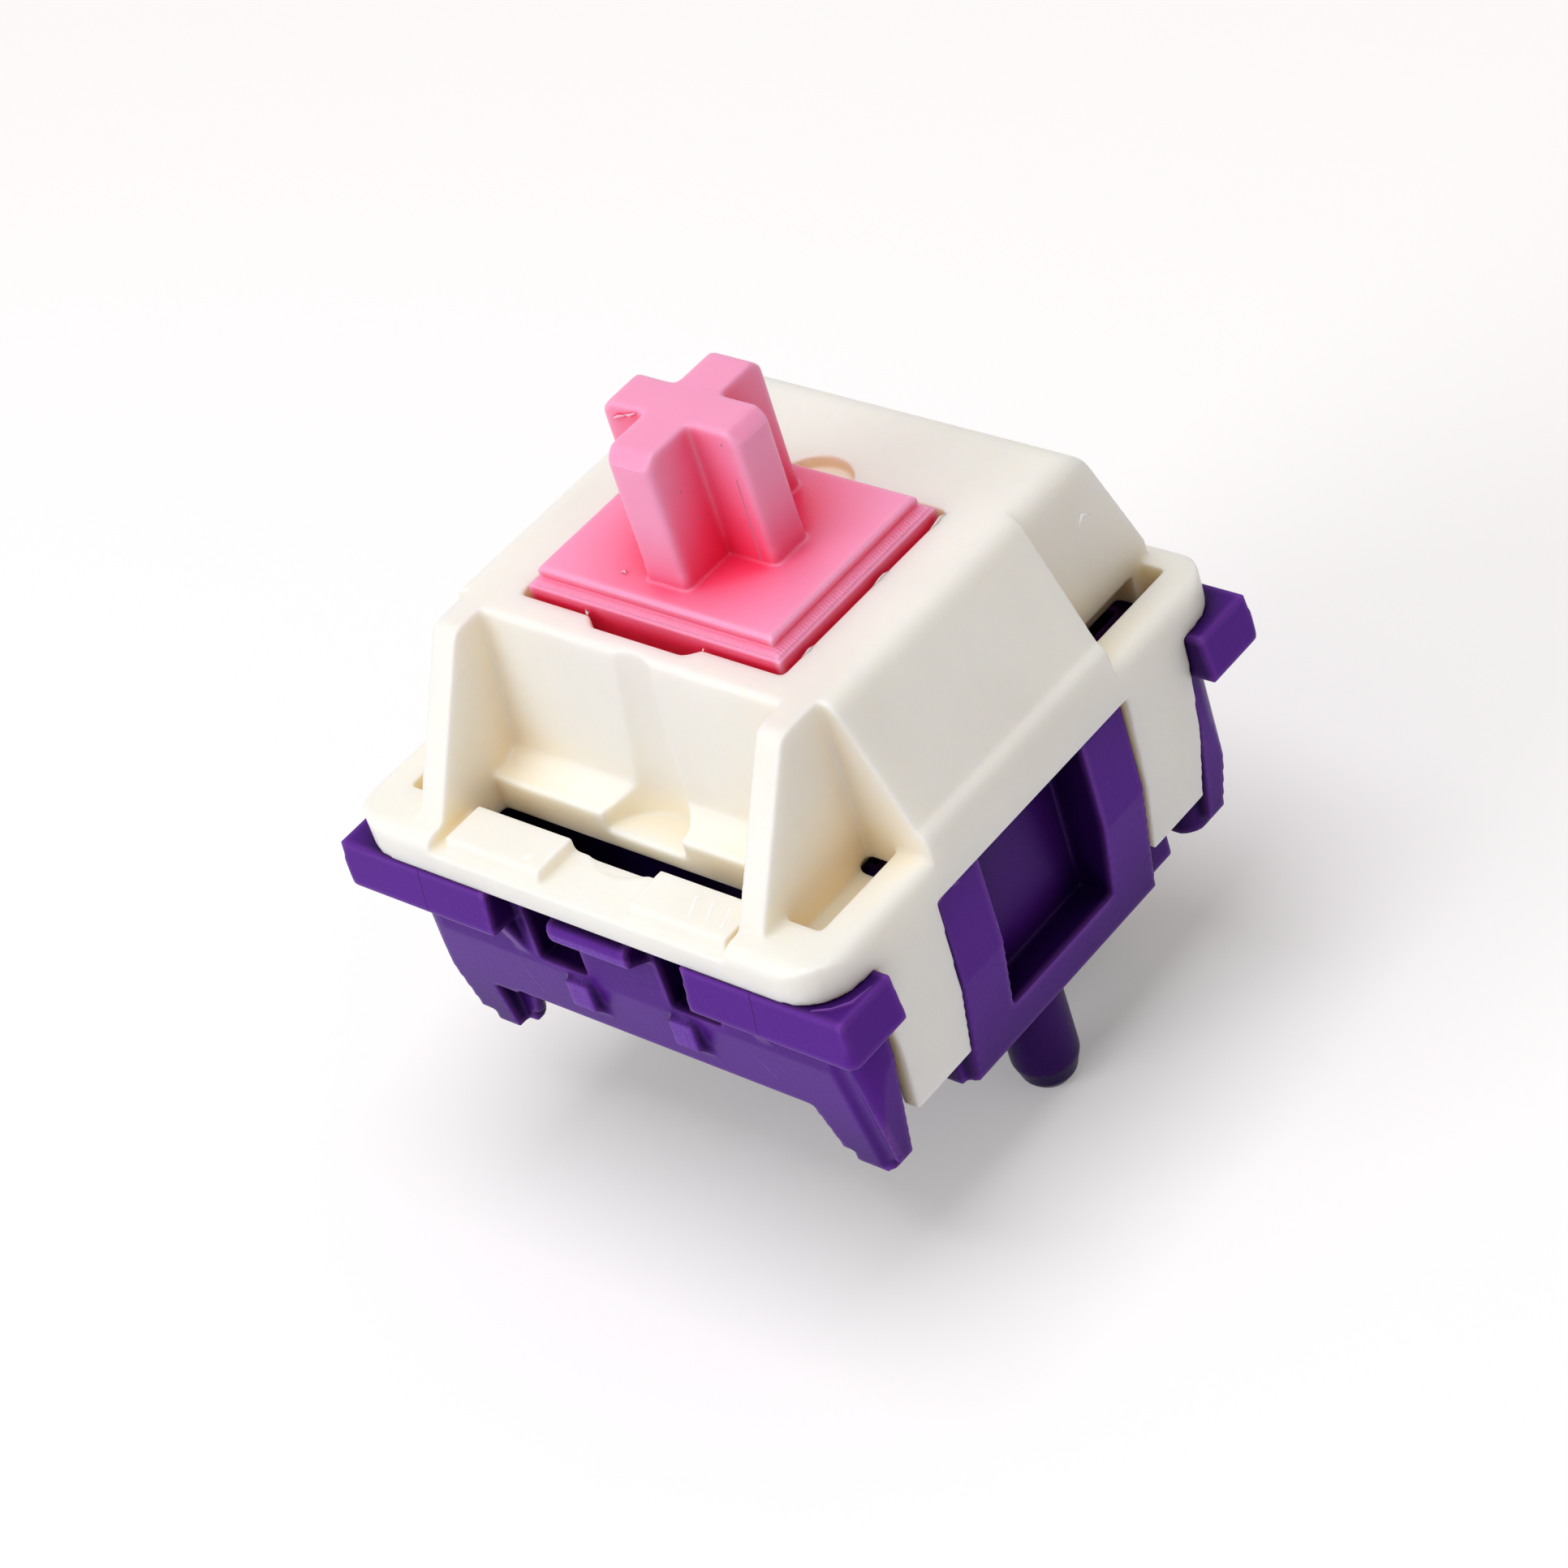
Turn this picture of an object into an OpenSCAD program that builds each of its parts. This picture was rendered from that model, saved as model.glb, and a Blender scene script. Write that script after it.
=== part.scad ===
/* [Board and plate] */
// Height of the plate seat above the circuit board
plate_seat = 5; // [4.8:0.1:5.4]
// Length of the post, pegs and terminals below the board face
post_length = 3.3; // [3:0.1:3.8]
// Diameter of the centre post
post_d = 4; // [3.9:0.05:4.2]
// Diameter of each side peg
peg_d = 1.7; // [1.5:0.05:1.9]
// Distance from the centre to each side peg
peg_x = 5.08; // [4.9:0.02:5.2]
// Bevel at the tip of the centre post
post_tip = 0.3; // [0.2:0.05:0.35]
// Bevel at the tip of each side peg
peg_tip = 0.4; // [0.2:0.05:0.5]

/* [Lower housing] */
// Reach of the flange past the body on each side, where it rests on the plate
flange_lip = 0.85; // [0.7:0.05:1.1]
// Thickness of the flange
flange_t = 1.25; // [1:0.05:1.4]
// Width of the square body that passes the plate
body_width = 13.9; // [13.7:0.05:14]
// Narrowing of each body side from the bend down to the feet
body_taper = 0.45; // [0.2:0.05:0.6]
// Height of the bend in the sides above the board
bend_z = 3.5; // [3.2:0.1:4]
// Thickness of the front and back walls
wall = 0.9; // [0.8:0.05:1.1]
// Height of the floor's top face under the stem
floor_z = 1.35; // [1.1:0.05:1.5]
// Height of the front and back walls' lower edge
skirt_z = 1.75; // [1.6:0.05:2]
// Half width of the side panel between the two legs
panel_half = 3.5; // [3.3:0.05:3.7]
// Half width of the recess in the side panel
recess_half = 1.95; // [1.8:0.05:2.2]
// Depth of the recess in the side panel
recess_depth = 1.25; // [1:0.05:1.35]
// Outer diameter of the spring tube
tube_d = 3.4; // [3.2:0.05:3.5]
// Height of the spring tube's mouth above the board
tube_z = 5.4; // [5:0.1:5.8]
// Half width of each plate clip
clip_half = 1.2; // [1:0.05:1.4]
// Reach of the plate clip past the body's face
clip_reach = 0.7; // [0.5:0.05:0.8]

/* [Upper housing] */
// Height of the housing's top face above the board
top_z = 11.2; // [11:0.1:12]
// Half width of the tower at its top
tower_half = 5.6; // [5.5:0.05:5.7]
// Thickness of the top face
roof = 1.1; // [1:0.05:1.2]
// Setback of the rim from the flange's edge at the sides with the legs
rim_side = 0.55; // [0.4:0.05:0.65]
// Setback of the rim from the flange's edge at the front and back
rim_end = 0.2; // [0.15:0.05:0.4]
// Thickness of the rim
rim_t = 1; // [0.9:0.05:1.2]
// Corner radius of the rim
rim_r = 1.3; // [1:0.1:1.6]
// Width of the flat strip of rim outside each pocket
rim_strip = 1; // [0.9:0.05:1.05]
// Half length of the slanted side panel
wedge_half = 3.4; // [3.2:0.05:3.55]
// Width of each of the four legs
leg_width = 2.25; // [1.9:0.05:2.3]
// Height of the legs' lower ends above the board
leg_z = 1.5; // [1.2:0.1:1.8]
// Half width of the light recess and its slot between the pillars
pillar_in = 4.5; // [4.3:0.05:4.6]
// Width of the light slot from front to back
slot_width = 0.9; // [0.8:0.05:1]
// Thickness of each pillar beside the light recess
pillar_t = 0.75; // [0.6:0.05:0.8]

/* [Stem] */
// Length of the stem's shoulder from side to side
stem_x = 7.56; // [7.3:0.02:7.7]
// Length of the stem's shoulder from front to back
stem_y = 5.68; // [5.5:0.02:5.9]
// Reach of the keycap cross across each pair of arms
cross_span = 4.1; // [4:0.02:4.12]
// Thickness of the cross arm that runs from front to back
arm_y_t = 1.3; // [1.24:0.01:1.34]
// Thickness of the cross arm that runs from side to side
arm_x_t = 1.17; // [1.08:0.01:1.2]
// Height of the cross above the shoulder's top
cross_height = 3.6; // [3.5:0.05:3.8]
// Travel of the stem
travel = 4; // [3.4:0.1:4]
// Half reach of the guide wings
wing_half = 5; // [4.9:0.02:5]
// Width of each guide wing
wing_width = 2; // [1.6:0.1:2.2]
// Diameter of the guide pole
pole_d = 1.95; // [1.8:0.05:2]
// Diameter of the spring cavity in the stem
cavity_d = 4.8; // [4.7:0.05:4.9]

/* [Spring and contacts] */
// Mean diameter of the return spring
spring_d = 4; // [3.95:0.01:4.02]
// Diameter of the spring wire
wire_d = 0.35; // [0.3:0.01:0.36]
// Number of active coils
coils = 8; // [6:1:9]
// Thickness of the stamped contact sheet
sheet = 0.2; // [0.15:0.01:0.25]
// Width of each terminal blade
blade = 1.2; // [1:0.05:1.3]
// Diameter of each contact point
point_d = 0.8; // [0.6:0.05:0.9]
// Open gap between the two contact points
point_gap = 0.25; // [0.2:0.01:0.3]

/* [Fits] */
// Clearance round the sliding stem
slide_gap = 0.15; // [0.12:0.01:0.18]
// Clearance round the sliding pole
pole_gap = 0.12; // [0.1:0.01:0.15]
// Clearance between the snapped housings
snap_gap = 0.03; // [0.02:0.01:0.05]

/* [Hidden] */
$fn = 48;

// Heights that the two housings share
seam_z = plate_seat + flange_t;
rim_z = seam_z + rim_t;
roof_z = top_z - roof;
shelf_z = skirt_z + 0.65;
foot_z = 0.35;

// Plan sizes of the lower housing
flange_half = body_width / 2 + flange_lip;
body_half = body_width / 2;
foot_half = body_half - body_taper;
cavity_y = body_half - wall;
cavity_x = wing_half + slide_gap;
panel_x = body_half + 0.1;
recess_x = panel_x - recess_depth;
pan_half = stem_y / 2 + 0.35;

// Legs of the upper housing and the faces that they lie on
rim_x = 2 * (flange_half - rim_side);
rim_y = 2 * (flange_half - rim_end);
leg_out = rim_x / 2;
leg_in = leg_out - rim_strip + 0.1;
leg_front = panel_half + 0.1;
leg_back = leg_front + leg_width;
hook_z = bend_z - 0.35;
hook_depth = 0.35;

// Contact places on the board's standard grid
moving_x = -3.81;
moving_y = 2.54;
fixed_x = 2.54;
fixed_y = 5.08;

// Front and back faces of the tower
recess_top_y = -stem_y / 2 - slide_gap - 0.8;
recess_foot_y = recess_top_y - 0.45;
slot_back = recess_foot_y - 0.9;
slot_front = slot_back - slot_width;
ledge_y = slot_back + 0.2;
ledge_z = rim_z - 0.1;
rail_z = rim_z - 0.35;
back_in_y = fixed_y + 0.92;
back_foot_y = back_in_y + 1.1;
back_top_y = back_foot_y - 1.3;
back_foot_z = rim_z + 0.5;
pillar_top_y = recess_top_y - 0.85;
pillar_foot_y = -rim_y / 2 + 0.65;
pillar_out = pillar_in + pillar_t;
pocket_out = leg_out - rim_strip;
pocket_front = rim_y / 2 - 1.45;
pocket_back = rim_y / 2 - 0.8;
pocket_z = seam_z + 0.25;
open_x = stem_x / 2 + slide_gap;
open_y = stem_y / 2 + slide_gap;

// Heights along the stem
shoulder_z = top_z + 0.15;
plateau_z = top_z + 0.6;
cross_z = plateau_z + cross_height;
ceiling_z = roof_z + 0.2;
stem_foot_z = floor_z + travel + 0.55;
wing_top_z = roof_z - 0.02;
pole_tip_z = tube_z - 1;
bore_z = pole_tip_z - travel - 0.1;
pole_r = pole_d / 2;
bore_r = pole_r + pole_gap;

// Contact faces inside the housings
cam_y = open_y + 0.9;
leaf_y = cam_y + 0.1;
contact_top = seam_z + 0.85;
point_z = seam_z - 0.25;
point_room = fixed_y - sheet / 2 - leaf_y - sheet - point_gap;

// Unit vector along v
function unit(v) = v / norm(v);

// Arc of radius r that rounds corner b between its neighbours a and c
function corner_arc(a, b, c, r, n) =
  r <= 0 ? [b] :
  let (u = unit(a - b), v = unit(c - b), half = acos(u * v) / 2,
       centre = b + unit(u + v) * r / sin(half),
       p = b + u * r / tan(half) - centre, q = b + v * r / tan(half) - centre,
       from = atan2(p[1], p[0]), turn = atan2(q[1], q[0]) - from,
       sweep = turn > 180 ? turn - 360 : turn < -180 ? turn + 360 : turn)
  [for (i = [0:n]) centre + r * [cos(from + sweep * i / n), sin(from + sweep * i / n)]];

// Outline with each corner rounded by its own radius
function rounded(points, radii, n = 4) =
  [for (i = [0:len(points) - 1])
    each corner_arc(points[(i + len(points) - 1) % len(points)], points[i],
                    points[(i + 1) % len(points)], is_list(radii) ? radii[i] : radii, n)];

// Outline in the first quadrant's order, closed by its mirror image in the first axis
function mirrored(points) =
  concat(points, [for (i = [len(points) - 1:-1:0]) [-points[i][0], points[i][1]]]);

// Box between two opposite corners
module block(low, high) { translate(low) cube(high - low); }

// Profile drawn as (y, z), extruded along x
module along_x(from, to) {
  translate([from, 0, 0]) rotate([90, 0, 90]) linear_extrude(to - from) children();
}

// Profile drawn as (x, z), extruded along y
module along_y(from, to) {
  translate([0, to, 0]) rotate([90, 0, 0]) linear_extrude(to - from) children();
}

// Slab with rounded corners, centred on the axis
module slab(half_x, half_y, low, high, r) {
  corners = [[half_x, half_y], [-half_x, half_y], [-half_x, -half_y], [half_x, -half_y]];
  translate([0, 0, low]) linear_extrude(high - low) polygon(rounded(corners, r, 6));
}

module both_sides() { children(); mirror([1, 0, 0]) children(); }
module both_ends() { children(); mirror([0, 1, 0]) children(); }
module four_corners() { both_sides() both_ends() children(); }

// Body profile across the bend, drawn from the foot to the seam
function body_outline(low) =
  let (edge = foot_half + body_taper * (low - foot_z) / (bend_z - foot_z))
  mirrored([[edge, low], [body_half, bend_z], [body_half, seam_z]]);

// Outer skin of the lower housing's walls down to a given height
module body_skin(low) {
  intersection() {
    along_y(-body_half, body_half) polygon(body_outline(low));
    along_x(-body_half, body_half) polygon(body_outline(low));
    slab(body_half, body_half, low, seam_z, 0.9);
  }
}

// Flange that rests on the plate: four corner pieces with drafted ends
module flange() {
  gap = 3;
  draft = 0.15;
  outline = mirrored([[flange_half, plate_seat], [flange_half - draft, seam_z]]);
  difference() {
    intersection() {
      along_y(-flange_half, flange_half) polygon(outline);
      along_x(-flange_half, flange_half) polygon(outline);
      slab(flange_half, flange_half, plate_seat, seam_z, 0.35);
    }
    block([-leg_in, -leg_back - snap_gap, 0], [leg_in, leg_back + snap_gap, top_z]);
    both_sides() block([leg_in - 1, -leg_back - snap_gap, 0],
                       [flange_half + leg_out, leg_back + snap_gap, top_z]);
    both_ends() block([-gap, body_half - 0.3, 0], [gap, flange_half + 1, top_z]);
    slab(body_half - 0.3, body_half - 0.3, 0, top_z, 0.9);
  }
}

// Corner leg with a slanted inner edge and a round foot
module corner_leg() {
  inner = 4.5;
  depth = body_half - leg_back - snap_gap;
  outline = [[inner, skirt_z + 0.3], [inner + 0.1, skirt_z - 0.1], [inner + 0.4, foot_z],
             [foot_half, foot_z], [body_half, bend_z], [inner, bend_z]];
  intersection() {
    along_y(leg_back + snap_gap, body_half) polygon(outline);
    body_skin(foot_z);
  }
  intersection() {
    translate([foot_half - 0.85, foot_half - depth / 2 + 0.1, 0]) cylinder(h = bend_z, d = 1.2);
    body_skin(0);
  }
}

// Flute beside one corner of the body, and the step that sets back the inner half of the next leg
module corner_relief() {
  flute_r = 0.42;
  lean = atan2(body_taper, bend_z - foot_z);
  step_x = foot_half - 1.1;
  translate([foot_half - 0.2, -foot_half - 0.22, 0]) rotate([lean, 0, 0])
    cylinder(h = plate_seat - 0.1, r = flute_r);
  block([-step_x, -body_half - 1, -1], [-step_x + 1.2, -foot_half + 0.35, skirt_z - 0.15]);
}

// Plate clip: a free tongue with a wedge nose
module clip() {
  face = body_half;
  outline = rounded([[cavity_y, bend_z], [face, bend_z], [face, plate_seat + 0.1],
                     [face + clip_reach, plate_seat + 0.45], [face + clip_reach, seam_z - 0.3],
                     [face + 0.1, seam_z - 0.15], [cavity_y, seam_z - 0.15]],
                    [0, 0, 0, 0.1, 0.15, 0, 0], 3);
  along_x(-clip_half, clip_half) polygon(outline);
}

// Small catch that holds the switch above a thin plate
module catch_nub(x) {
  half = 0.375;
  outline = [[foot_half, 1.9], [body_half + 0.05, 2.6], [body_half + 0.2, 2.75],
             [body_half + 0.2, bend_z], [foot_half, bend_z]];
  along_x(x - half, x + half) polygon(outline);
}

// Rib that stiffens the flange beside the clip
module flange_rib(x) {
  half = 0.2;
  outline = [[body_half - 0.4, 2.6], [body_half + 0.45, plate_seat], [body_half - 0.4, plate_seat]];
  along_x(x - half, x + half) polygon(outline);
}

// Side panel that stands between two legs, with its recess
module side_panel() {
  outline = [[cavity_x, foot_z], [panel_x - body_taper, foot_z], [panel_x, bend_z],
             [panel_x, seam_z], [cavity_x, seam_z]];
  difference() {
    along_y(-panel_half, panel_half) polygon(outline);
    block([recess_x, -recess_half, floor_z + 0.1], [panel_x + 1, recess_half, seam_z + 1]);
  }
}

// Channel rails that guide one wing of the stem
module wing_rails() {
  channel = wing_width / 2 + slide_gap;
  both_ends() block([stem_x / 2 + 0.35, channel, floor_z - 0.1], [cavity_x + 0.1, channel + 0.8, seam_z]);
}

// Tube that guides the pole and carries the spring
module spring_tube() {
  cylinder(h = tube_z, d = tube_d);
}

// Post or peg below the board face, with a tapered tip
module board_pin(d, length, tip) {
  rotate_extrude() polygon([[0, 0], [d / 2, 0], [d / 2, -length + tip * 2],
                            [d / 2 - tip * 0.4, -length + tip * 0.7],
                            [d / 2 - tip, -length], [0, -length]]);
}

// Seats cut in the floor for both contacts
module contact_seats() {
  half = blade / 2 + snap_gap;
  gap = sheet / 2 + snap_gap;
  block([moving_x - half, moving_y - gap, -1], [moving_x + half, moving_y + gap, floor_z + 1]);
  block([moving_x - half, moving_y - gap, floor_z],
        [moving_x + half, leaf_y + sheet + snap_gap, shelf_z + 1]);
  block([fixed_x - half, fixed_y - gap, -1], [fixed_x + half, fixed_y + gap, shelf_z + 1]);
  block([-1 - snap_gap, leaf_y, shelf_z], [fixed_x + 1, fixed_y + gap, top_z]);
}

module lower_housing() {
  pan_back = leaf_y + sheet + 0.4;
  led_pitch = 1.27;
  led_y = -5.08;
  color("indigo") difference() {
    union() {
      difference() {
        union() {
          body_skin(skirt_z);
          intersection() {
            block([-body_half, -pan_half - 0.6, foot_z], [body_half, pan_back, skirt_z + 0.1]);
            body_skin(foot_z);
          }
          four_corners() corner_leg();
        }
        block([-cavity_x, -cavity_y, shelf_z], [cavity_x, cavity_y, top_z]);
        block([-cavity_x, -pan_half, floor_z], [cavity_x, pan_half, top_z]);
        four_corners() block([leg_in - snap_gap, leg_front - snap_gap, 0],
                             [leg_out + 1, leg_back + snap_gap, top_z]);
        four_corners() block([leg_in - hook_depth - snap_gap, leg_front + 0.35, leg_z + 0.4],
                             [leg_out + 1, leg_back - 0.35, hook_z + snap_gap]);
        both_sides() block([recess_x, -recess_half, floor_z + 0.1],
                           [body_half + 1, recess_half, seam_z + 1]);
        both_ends() for (side = [-1, 1])
          translate([side * (clip_half + 0.85), 0, 0])
            block([-0.75, cavity_y - 1, bend_z + 0.2], [0.75, body_half + 1, top_z]);
        both_ends() block([-clip_half - 0.1, cavity_y - 0.1, seam_z - 0.2],
                          [clip_half + 0.1, body_half + 1, top_z]);
      }
      flange();
      both_sides() side_panel();
      both_sides() wing_rails();
      both_ends() clip();
      both_ends() for (x = [-1.6, 1.6]) catch_nub(x);
      both_ends() for (x = [-3.3, 4.1]) flange_rib(x);
      block([-cavity_x - 0.1, -pan_half - 0.8, shelf_z - 0.1], [cavity_x + 0.1, -pan_half, seam_z]);
      spring_tube();
      board_pin(post_d, post_length, post_tip);
      cylinder(h = floor_z, d = post_d);
      both_sides() translate([peg_x, 0, 0]) board_pin(peg_d, post_length, peg_tip);
      both_sides() translate([peg_x, 0, 0]) cylinder(h = floor_z, d = peg_d);
    }
    translate([0, 0, bore_z]) cylinder(h = tube_z, r = bore_r);
    contact_seats();
    for (turn = [0, 180]) rotate([0, 0, turn]) corner_relief();
    for (x = [-led_pitch, led_pitch]) translate([x, led_y, 0]) cylinder(h = shelf_z + 1, d = 1);
  }
}

// Tower of the upper housing, solid
module tower() {
  front_back = rounded([[back_foot_y, seam_z], [back_foot_y, back_foot_z], [back_top_y, top_z],
                        [recess_top_y, top_z], [recess_foot_y, rim_z + 0.25],
                        [ledge_y, ledge_z], [slot_back, rim_z - 0.7], [slot_back, seam_z]],
                       [0, 0, 0.6, 0.15, 0.25, 0.25, 0, 0]);
  across = rounded(mirrored([[tower_half, seam_z], [tower_half, top_z]]), [0, 0.5, 0.5, 0]);
  intersection() {
    along_x(-tower_half, tower_half) polygon(front_back);
    along_y(slot_back - 1, back_foot_y + 1) polygon(across);
  }
}

// Slanted side panel that houses a wing channel
module wedge() {
  knee = rim_z + 0.75;
  outline = rounded([[tower_half - 0.6, seam_z], [leg_out, seam_z], [leg_out, knee - 0.1],
                     [leg_out - 0.25, knee], [tower_half, top_z], [tower_half - 0.6, top_z]],
                    [0, 0, 0.4, 0, 0.5, 0]);
  along_y(-wedge_half, wedge_half) polygon(outline);
}

// Pillar wall beside the light recess
module pillar() {
  outline = rounded([[recess_foot_y + 0.8, seam_z], [pillar_foot_y, seam_z], [pillar_foot_y, rim_z],
                     [pillar_top_y, top_z], [recess_foot_y + 0.8, top_z]], [0, 0, 0, 0.35, 0]);
  along_x(pillar_in, pillar_out) polygon(outline);
}

// Rim with its rounded outer edge
module rim() {
  half_x = rim_x / 2;
  half_y = rim_y / 2;
  edge = 0.35;
  intersection() {
    slab(half_x, half_y, seam_z, rim_z, rim_r);
    along_y(-half_y, half_y)
      polygon(rounded(mirrored([[half_x, seam_z], [half_x, rim_z]]), [0, edge, edge, 0]));
    along_x(-half_y, half_y)
      polygon(rounded(mirrored([[half_y, seam_z], [half_y, rim_z]]), [0, edge, edge, 0]));
  }
}

// Raised pad on the front rail, with a sloping front
module rail_pad(from, to) {
  outline = [[slot_front + 1, rail_z - 0.1], [-rim_y / 2 + 0.15, rail_z - 0.1], [-rim_y / 2 + 0.35, rim_z],
             [slot_front + 1, rim_z]];
  along_x(from, to) polygon(outline);
}

// Relief that leaves the two pads standing between the pillars
module rail_relief() {
  difference() {
    block([-pillar_in, -rim_y, rail_z], [pillar_in, slot_back - 0.3, top_z]);
    rail_pad(-4.15, -1.2);
    rail_pad(1.5, 4.4);
  }
}

// Channel down the recess wall and the half round seat at its foot
module light_channel() {
  channel_r = 1.2;
  depth = 0.25;
  fade = 0.12;
  seat_r = 1.05;
  lean = atan2(recess_top_y - recess_foot_y - fade, top_z - rim_z);
  translate([0.1, recess_foot_y + depth - channel_r, rim_z])
    rotate([-lean, 0, 0]) translate([0, 0, -0.5]) cylinder(h = top_z, r = channel_r);
  translate([0.1, slot_back, ledge_z - 0.06]) cylinder(h = top_z - rim_z, r = seat_r);
}

// Leg that snaps into the lower housing, with its inner hook
module leg() {
  foot_out = leg_out - 0.45;
  outline = [[leg_in, seam_z + 0.1], [leg_out, seam_z + 0.1], [leg_out - 0.15, bend_z - 0.1],
             [foot_out, leg_z], [leg_in, leg_z]];
  hook = [[leg_in + 0.1, hook_z], [leg_in - hook_depth, hook_z], [leg_in - hook_depth, hook_z - 0.25],
          [leg_in + 0.1, leg_z + 0.5]];
  side = [[leg_front, seam_z + 0.1], [leg_back, seam_z + 0.1], [leg_back, plate_seat],
          [leg_back - 0.25, leg_z], [leg_front, leg_z]];
  intersection() {
    along_y(leg_front, leg_back) polygon(outline);
    along_x(leg_in, leg_out) polygon(side);
  }
  along_y(leg_front + 0.4, leg_back - 0.4) polygon(hook);
}

// Notch in the front edge of the stem's opening
module front_notch() {
  depth = 0.3;
  translate([-0.1, 0, roof_z - 1]) linear_extrude(roof + 2)
    polygon(mirrored([[1.8, -open_y + 0.1], [1.35, -open_y - depth]]));
}

// Space inside the tower where the stem and contacts work
module inner_space() {
  half = tower_half - 1;
  channel = wing_width / 2 + slide_gap;
  outline = [[-open_y - 0.1, seam_z - 1], [back_in_y, seam_z - 1], [back_in_y, rim_z],
             [back_top_y - 1, roof_z], [-open_y - 0.1, roof_z]];
  along_x(-half, half) polygon(outline);
  both_sides() block([half - 1, -channel, seam_z - 1], [cavity_x, channel, roof_z]);
}

// Pockets before and behind the side panel, each with its window to the inside
module pockets() {
  window_x = tower_half - 0.65;
  block([pillar_out, -pocket_front, pocket_z], [pocket_out, -wedge_half, top_z + 1]);
  block([window_x, -wedge_half - 0.3, seam_z - 1], [pocket_out, -wedge_half + 0.4, seam_z + 0.45]);
  block([tower_half, wedge_half, seam_z - 1], [pocket_out, pocket_back, top_z + 1]);
  block([window_x, wedge_half + 0.4, seam_z - 1], [pocket_out, pocket_back - 0.4, rim_z - 0.1]);
}

module upper_housing() {
  notch_z = top_z - 0.35;
  color("ivory") difference() {
    union() {
      rim();
      tower();
      both_sides() wedge();
      both_sides() pillar();
      four_corners() leg();
    }
    inner_space();
    slab(open_x, open_y, roof_z - 1, top_z + 1, 0.1);
    front_notch();
    translate([0.15, open_y - 0.35, notch_z]) cylinder(h = roof, r = 1.05);
    block([-pillar_in, slot_front, seam_z - 1], [pillar_in, slot_back, rim_z + 1]);
    rail_relief();
    light_channel();
    both_sides() pockets();
  }
}

// Keycap cross with bevelled arm ends
module cross_arm(half_span, half_t) {
  tip = 0.3;
  outline = mirrored([[half_span, shoulder_z - 0.5], [half_span, cross_z - tip], [half_span - tip, cross_z]]);
  intersection() {
    along_y(-half_t, half_t) polygon(outline);
    slab(half_span, half_t, shoulder_z - 0.5, cross_z, 0.2);
  }
}

// Outline of the shoulder from its foot to the plateau: sloping band, groove and bevelled plateau edge
function shoulder_outline(half, band) =
  let (groove = 0.07, bevel = 0.08, groove_z = plateau_z - 0.25)
  mirrored([[half, stem_foot_z], [half, shoulder_z], [half - band, groove_z - 0.05],
            [half - band - groove, groove_z - 0.05], [half - band - groove, groove_z],
            [half - band, groove_z + 0.03], [half - band, plateau_z - bevel],
            [half - band - bevel, plateau_z]]);

// Shoulder of the stem: plateau, groove, band and vertical sides
module shoulder() {
  half_x = stem_x / 2;
  half_y = stem_y / 2;
  band = 0.26;
  intersection() {
    along_y(-half_y, half_y) polygon(shoulder_outline(half_x, band));
    along_x(-half_x, half_x) polygon(shoulder_outline(half_y, band * 0.8));
  }
}

// Cam leg that holds the moving contact open at rest
module cam_leg(x) {
  half = 0.5;
  outline = [[stem_y / 2 - 0.3, stem_foot_z], [stem_y / 2, stem_foot_z + 0.5], [cam_y, stem_foot_z + 1.5],
             [cam_y, point_z + 1.8], [stem_y / 2 - 0.3, roof_z - 0.3]];
  along_x(x - half, x + half) polygon(outline);
}

module stem() {
  wing = wing_width / 2;
  color("hotpink") union() {
    difference() {
      union() {
        shoulder();
        both_sides() block([stem_x / 2 - 0.3, -wing, stem_foot_z], [wing_half, wing, wing_top_z]);
        for (x = [-1.6, 1.6]) cam_leg(x);
      }
      translate([0, 0, stem_foot_z - 1]) cylinder(h = ceiling_z - stem_foot_z + 1, d = cavity_d);
    }
    translate([0, 0, pole_tip_z]) cylinder(h = ceiling_z - pole_tip_z + 0.1, d = pole_d);
    cross_arm(cross_span / 2, arm_x_t / 2);
    rotate([0, 0, 90]) cross_arm(cross_span / 2, arm_y_t / 2);
  }
}

// Centre line of the spring at turn t, with one closed coil at each end
function spring_rise(t) =
  let (total = coils + 2, low = floor_z + wire_d / 2, high = ceiling_z - wire_d / 2,
       open = (high - low - 2 * wire_d) / coils)
  t < 1 ? low + wire_d * t : t > total - 1 ? high - wire_d * (total - t) : low + wire_d + open * (t - 1);

// Spring wire swept along its coil
module return_spring() {
  steps = 20;
  sides = 6;
  rings = steps * (coils + 2);
  points = [for (i = [0:rings]) let (t = i / steps, a = 360 * t)
    for (k = [0:sides - 1]) let (b = 360 * k / sides, r = spring_d / 2 + wire_d / 2 * cos(b))
      [r * cos(a), r * sin(a), spring_rise(t) + wire_d / 2 * sin(b)]];
  walls = [for (i = [0:rings - 1]) for (k = [0:sides - 1]) let (n = (k + 1) % sides)
    [i * sides + k, i * sides + n, (i + 1) * sides + n, (i + 1) * sides + k]];
  ends = [[for (k = [sides - 1:-1:0]) k], [for (k = [0:sides - 1]) rings * sides + k]];
  color("silver") polyhedron(points, concat(walls, ends), convexity = 10);
}

// Pointed terminal blade, drawn as (x, z)
module terminal(x, top) {
  half = blade / 2;
  polygon([[x - half, top], [x - half, -post_length + 0.5], [x - half * 0.5, -post_length],
           [x + half * 0.5, -post_length], [x + half, -post_length + 0.5], [x + half, top]]);
}

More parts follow.
